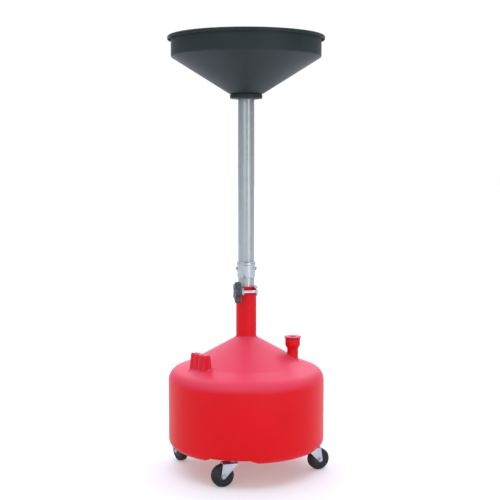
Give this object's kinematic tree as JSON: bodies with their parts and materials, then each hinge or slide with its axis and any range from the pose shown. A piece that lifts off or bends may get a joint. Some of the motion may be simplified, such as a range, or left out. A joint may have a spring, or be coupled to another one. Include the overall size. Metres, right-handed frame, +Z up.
{
  "type": "oil lift drain",
  "caption": "Portable oil lift drain: a funnel bowl on a height-adjustable steel mast, clamped in the neck of a poly tank with a pour spout and grip, on swivel casters.",
  "frame": {"origin": "on the floor under the four wheels, below the axis of the mast", "axes": "+Z up the mast; -Y is the front, where the clamp knob is; +X is to the right, on the spout side"},
  "size_m": [0.4239, 0.4251, 1.13],
  "materials": {
    "red_poly": "moulded red polyethylene with a soft satin skin",
    "black_poly": "moulded charcoal polyethylene, fine texture",
    "tube_steel": "bright zinc-plated drawn tube",
    "sleeve_steel": "zinc-plated steel sleeve and screws",
    "clamp_steel": "bright plated steel",
    "strainer_steel": "perforated zinc-plated sheet",
    "knob_plastic": "slate-black moulded plastic",
    "zinc_steel": "pressed zinc-plated steel",
    "hub_plastic": "black moulded plastic",
    "tyre": "black rubber tread",
    "rubber": "black oil-resistant rubber",
    "brass": "turned brass"
  },
  "bodies": {
    "tank": {"tank": "red_poly", "clamp_band": "clamp_steel", "clamp_bolt": "clamp_steel", "clamp_washer": "clamp_steel", "caster_front_insert": "brass", "caster_front_stem": "zinc_steel", "caster_right_insert": "brass", "caster_right_stem": "zinc_steel", "caster_rear_insert": "brass", "caster_rear_stem": "zinc_steel", "caster_left_insert": "brass", "caster_left_stem": "zinc_steel"},
    "mast": {"drop_tube": "tube_steel", "upper_tube": "tube_steel", "coupling_sleeve": "sleeve_steel", "set_screw_right": "sleeve_steel", "set_screw_left": "sleeve_steel", "funnel_bowl": "black_poly", "funnel_collar": "black_poly", "funnel_gasket": "rubber", "funnel_lock_ring": "black_poly", "funnel_strainer": "strainer_steel"},
    "knob": {"clamp_knob": "knob_plastic", "clamp_knob_insert": "brass"},
    "spout_cap": {"spout_cap": "red_poly", "spout_cap_gasket": "rubber"},
    "caster_front_swivel": {"caster_front_bearing": "zinc_steel", "caster_front_fork": "zinc_steel", "caster_front_axle": "zinc_steel", "caster_front_axle_nut": "zinc_steel"},
    "caster_front_wheel": {"caster_front_tyre": "tyre", "caster_front_hub": "hub_plastic"},
    "caster_right_swivel": {"caster_right_bearing": "zinc_steel", "caster_right_fork": "zinc_steel", "caster_right_axle": "zinc_steel", "caster_right_axle_nut": "zinc_steel"},
    "caster_right_wheel": {"caster_right_tyre": "tyre", "caster_right_hub": "hub_plastic"},
    "caster_rear_swivel": {"caster_rear_bearing": "zinc_steel", "caster_rear_fork": "zinc_steel", "caster_rear_axle": "zinc_steel", "caster_rear_axle_nut": "zinc_steel"},
    "caster_rear_wheel": {"caster_rear_tyre": "tyre", "caster_rear_hub": "hub_plastic"},
    "caster_left_swivel": {"caster_left_bearing": "zinc_steel", "caster_left_fork": "zinc_steel", "caster_left_axle": "zinc_steel", "caster_left_axle_nut": "zinc_steel"},
    "caster_left_wheel": {"caster_left_tyre": "tyre", "caster_left_hub": "hub_plastic"}
  },
  "joints": [
    {"name": "mast_slide", "type": "slide", "parent": "tank", "child": "mast", "axis": [0, 0, 1], "range_m": [-0.022, 0.27]},
    {"name": "knob_turn", "type": "hinge", "parent": "tank", "child": "knob", "pos_m": [0.00868, -0.04924, 0.474], "axis": [0.9848, 0.1736, 0], "range_deg": [0, 720]},
    {"name": "spout_cap_lift", "type": "slide", "parent": "tank", "child": "spout_cap", "axis": [0, 0, 1], "range_m": [0, 0.08]},
    {"name": "caster_front_swivel_turn", "type": "hinge", "parent": "tank", "child": "caster_front_swivel", "pos_m": [-0.03349, -0.16463, 0.06], "axis": [0, 0, 1], "continuous": true},
    {"name": "caster_front_wheel_spin", "type": "hinge", "parent": "caster_front_swivel", "child": "caster_front_wheel", "pos_m": [-0.05917, -0.17297, 0.02826], "axis": [0.309, -0.9511, 0], "continuous": true},
    {"name": "caster_right_swivel_turn", "type": "hinge", "parent": "tank", "child": "caster_right_swivel", "pos_m": [0.16463, -0.03349, 0.06], "axis": [0, 0, 1], "continuous": true},
    {"name": "caster_right_wheel_spin", "type": "hinge", "parent": "caster_right_swivel", "child": "caster_right_wheel", "pos_m": [0.18966, -0.02338, 0.02826], "axis": [-0.3746, 0.9272, 0], "continuous": true},
    {"name": "caster_rear_swivel_turn", "type": "hinge", "parent": "tank", "child": "caster_rear_swivel", "pos_m": [0.03349, 0.16463, 0.06], "axis": [0, 0, 1], "continuous": true},
    {"name": "caster_rear_wheel_spin", "type": "hinge", "parent": "caster_rear_swivel", "child": "caster_rear_wheel", "pos_m": [0.04048, 0.19071, 0.02826], "axis": [-0.9659, 0.2588, 0], "continuous": true},
    {"name": "caster_left_swivel_turn", "type": "hinge", "parent": "tank", "child": "caster_left_swivel", "pos_m": [-0.16463, 0.03349, 0.06], "axis": [0, 0, 1], "continuous": true},
    {"name": "caster_left_wheel_spin", "type": "hinge", "parent": "caster_left_swivel", "child": "caster_left_wheel", "pos_m": [-0.17894, 0.05639, 0.02826], "axis": [-0.848, -0.5299, 0], "continuous": true}
  ]
}
